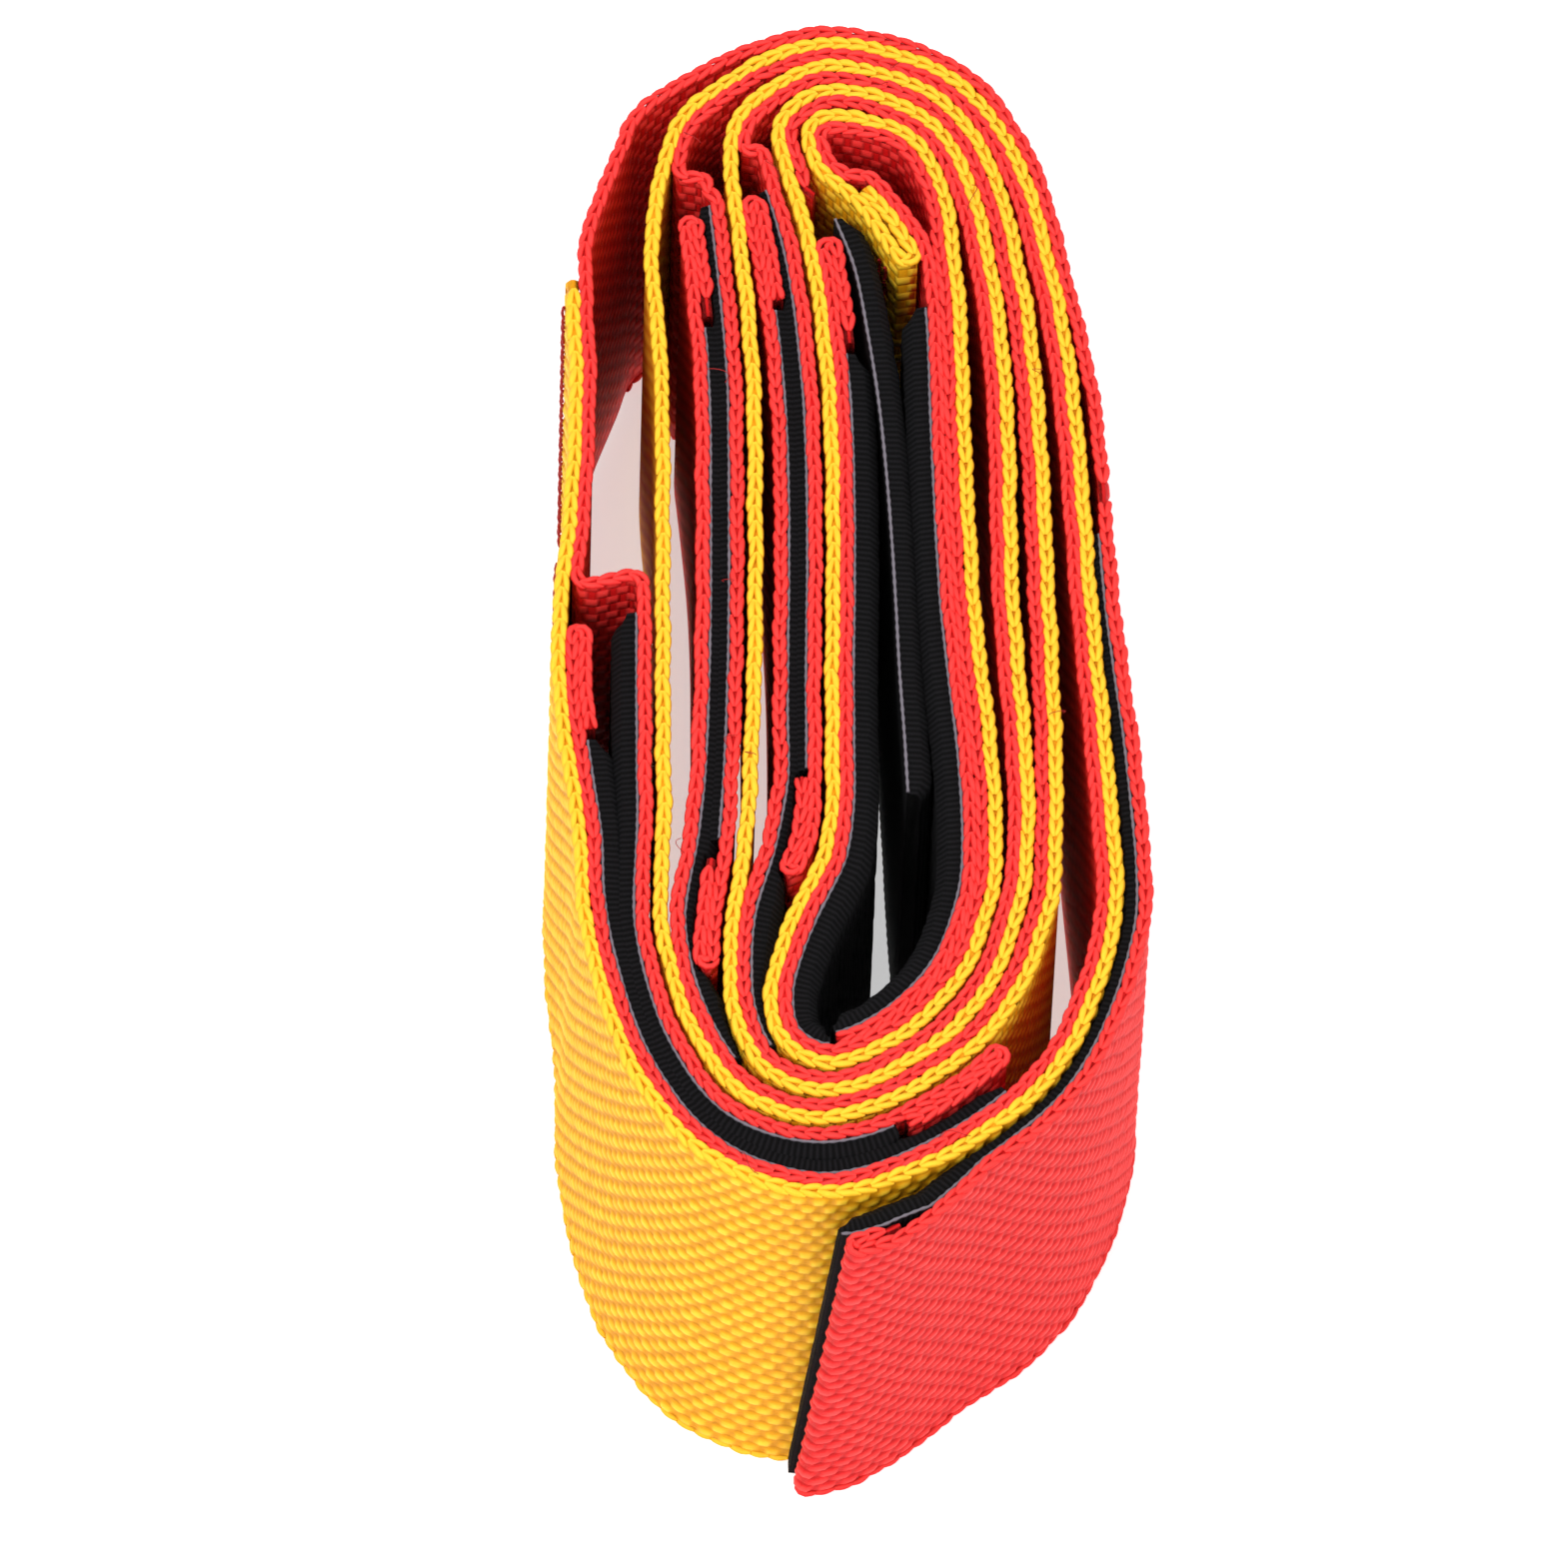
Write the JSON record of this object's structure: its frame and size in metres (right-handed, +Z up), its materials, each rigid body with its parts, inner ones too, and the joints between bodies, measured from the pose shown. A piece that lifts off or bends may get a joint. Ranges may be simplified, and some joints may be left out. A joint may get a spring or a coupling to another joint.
{
  "type": "rolled martial arts belt",
  "caption": "Hook-and-loop webbing belt in yellow and red, rolled up flat on edge, with sewn strap loops and a closing flap.",
  "frame": {"origin": "on the surface it rests on, under the middle of the rolled belt", "axes": "+Z up along the webbing's width, +Y along the roll towards its back, +X across the roll"},
  "size_m": [0.051, 0.1144, 0.05],
  "materials": {
    "yellow_webbing": "coarse plain-woven webbing",
    "red_webbing": "coarse plain-woven webbing",
    "black_tape": "matt hook-and-loop pile on a woven back",
    "red_thread": "twisted sewing thread"
  },
  "bodies": {
    "root": {"main_webbing": "yellow_webbing", "strap_a": "red_webbing", "strap_b": "red_webbing", "strap_c": "red_webbing", "strap_d": "red_webbing", "strap_e": "red_webbing", "hook_tape_a": "black_tape", "hook_tape_b": "black_tape", "hook_tape_c": "black_tape", "hook_tape_d": "black_tape", "hook_tape_e": "black_tape", "loop_tape_b": "black_tape", "loop_tape_c": "black_tape", "loop_tape_d": "black_tape", "loop_tape_e": "black_tape", "seam_a": "red_thread", "seam_b": "red_thread", "seam_c": "red_thread", "seam_d": "red_thread", "seam_e": "red_thread", "seam_a_end": "red_thread"},
    "flap": {"closing_flap": "red_webbing", "loop_tape_a": "black_tape"}
  },
  "joints": [
    {"name": "flap_hinge", "type": "hinge", "parent": "root", "child": "flap", "pos_m": [0.02112, 0.01324, 0.025], "axis": [0, 0, 1], "range_deg": [0, 110]}
  ]
}
